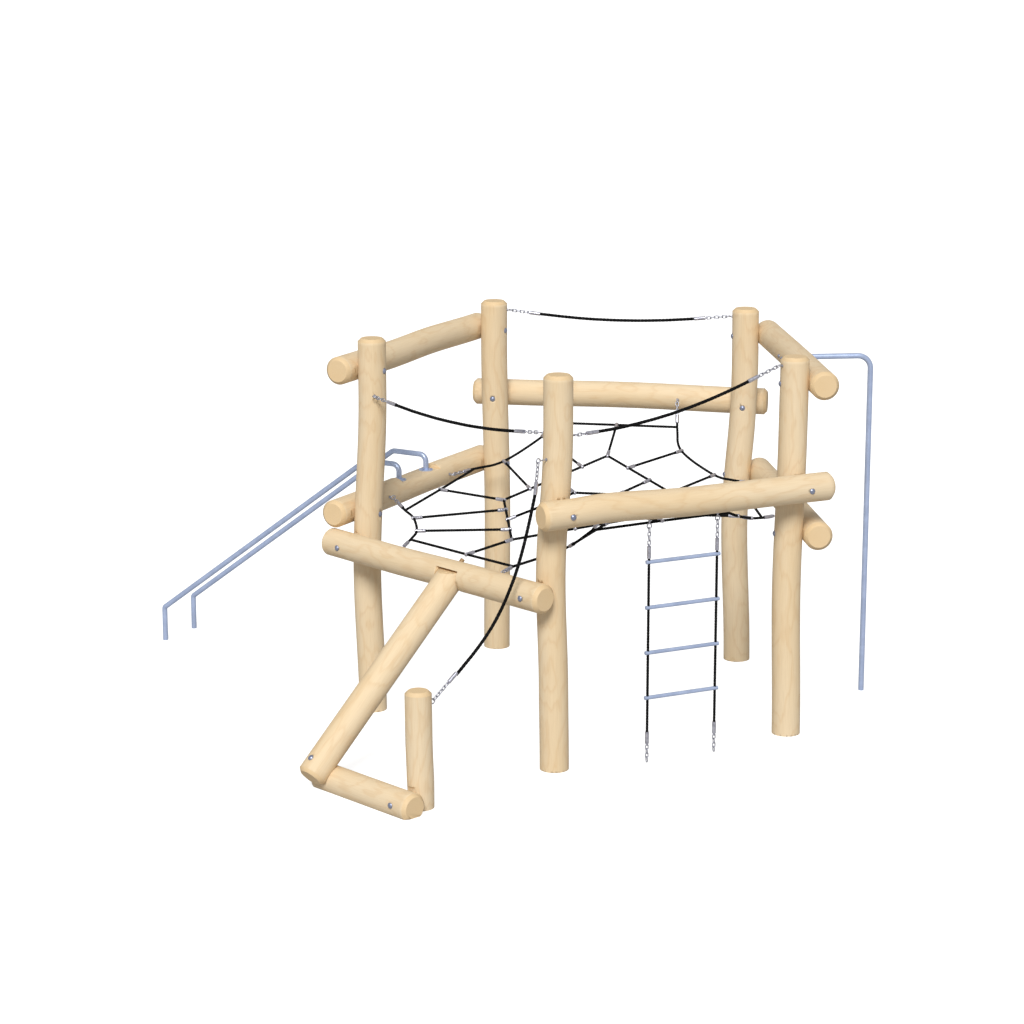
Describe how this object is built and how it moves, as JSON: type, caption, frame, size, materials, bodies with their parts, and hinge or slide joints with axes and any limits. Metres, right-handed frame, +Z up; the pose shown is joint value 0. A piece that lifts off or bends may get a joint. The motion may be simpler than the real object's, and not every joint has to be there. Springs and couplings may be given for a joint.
{
  "type": "log climbing tower",
  "caption": "Pentagonal round-log climbing tower with hanging ropes, a rope net, a rope ladder, two slide bars, a sloping balance log and a fireman's pole.",
  "frame": {"origin": "on the ground under the middle of the whole object's box", "axes": "+Z up, -Y towards the front post with the ladder and balance log at its sides, +X towards the fireman's pole"},
  "size_m": [5.0489, 4.2988, 2.575],
  "materials": {
    "log_wood": "peeled round softwood, lightly oiled, fine orange-tan grain",
    "oak_peg": "turned hardwood, satin",
    "bolt_steel": "galvanised, satin",
    "tube_steel": "stainless tube, fine ground",
    "chain_steel": "galvanised chain, satin",
    "ferrule_alloy": "pressed aluminium alloy, satin",
    "black_rope": "laid polyester over a steel core, matt black"
  },
  "bodies": {
    "frame": {"post_front_left": "log_wood", "post_back_left": "log_wood", "post_front": "log_wood", "post_back_right": "log_wood", "post_front_right": "log_wood", "post_short": "log_wood", "rail_left_high": "log_wood", "rail_slide": "log_wood", "rail_back": "log_wood", "rail_right_high": "log_wood", "rail_right_low": "log_wood", "rail_ladder": "log_wood", "rail_front_left": "log_wood", "balance_log": "log_wood", "balance_peg": "oak_peg", "ground_log": "log_wood", "rail_bolts": "bolt_steel", "rail_cap_nuts": "bolt_steel", "coach_screw": "bolt_steel", "fire_pole": "tube_steel", "pole_flange": "tube_steel", "pole_bolts": "bolt_steel", "pole_cap_nuts": "bolt_steel", "slide_bar_near": "tube_steel", "slide_bar_far": "tube_steel", "bar_flanges": "tube_steel", "bar_flange_screws": "bolt_steel", "rope_eyebolts": "chain_steel", "net_side_ropes": "black_rope", "net_corner_ropes": "black_rope", "net_ring_rope": "black_rope", "net_radial_ropes": "black_rope", "net_spoke_ropes": "black_rope", "net_inner_ring": "black_rope", "net_connectors": "ferrule_alloy", "net_ferrules": "ferrule_alloy", "net_chains": "chain_steel", "net_eyebolts": "chain_steel"},
    "back_swag": {"back_rope": "black_rope", "back_rope_ferrules": "ferrule_alloy", "back_rope_chains": "chain_steel"},
    "left_swag": {"left_rope": "black_rope", "left_rope_ferrules": "ferrule_alloy", "left_rope_chains": "chain_steel"},
    "right_swag": {"right_rope": "black_rope", "right_rope_ferrules": "ferrule_alloy", "right_rope_chains": "chain_steel"},
    "low_swag": {"low_rope": "black_rope", "low_rope_ferrules": "ferrule_alloy", "low_rope_chains": "chain_steel"},
    "ladder": {"ladder_rope_left": "black_rope", "ladder_rope_right": "black_rope", "ladder_rung_1": "tube_steel", "ladder_rung_2": "tube_steel", "ladder_rung_3": "tube_steel", "ladder_rung_4": "tube_steel", "ladder_ferrules": "ferrule_alloy", "ladder_chains": "chain_steel"}
  },
  "joints": [
    {"name": "back_swag_swing", "type": "hinge", "parent": "frame", "child": "back_swag", "pos_m": [0.07398, 1.62902, 2.50333], "axis": [0.9834, -0.1817, 0.002], "range_deg": [-27, 27]},
    {"name": "left_swag_swing", "type": "hinge", "parent": "frame", "child": "left_swag", "pos_m": [-0.83355, -0.01483, 2.19819], "axis": [0.6917, -0.7222, 0], "range_deg": [-27, 27]},
    {"name": "right_swag_swing", "type": "hinge", "parent": "frame", "child": "right_swag", "pos_m": [0.47972, -1.09574, 2.17881], "axis": [0.8797, 0.4253, 0.2126], "range_deg": [-27, 27]},
    {"name": "low_swag_swing", "type": "hinge", "parent": "frame", "child": "low_swag", "pos_m": [0.22564, -1.26718, 2.0311], "axis": [-0.3998, -0.3407, -0.8509], "range_deg": [-25, 12]},
    {"name": "ladder_sway", "type": "hinge", "parent": "frame", "child": "ladder", "pos_m": [0.933, -1.06548, 1.56543], "axis": [0.9019, 0.4319, 0], "range_deg": [-5, 5]}
  ]
}
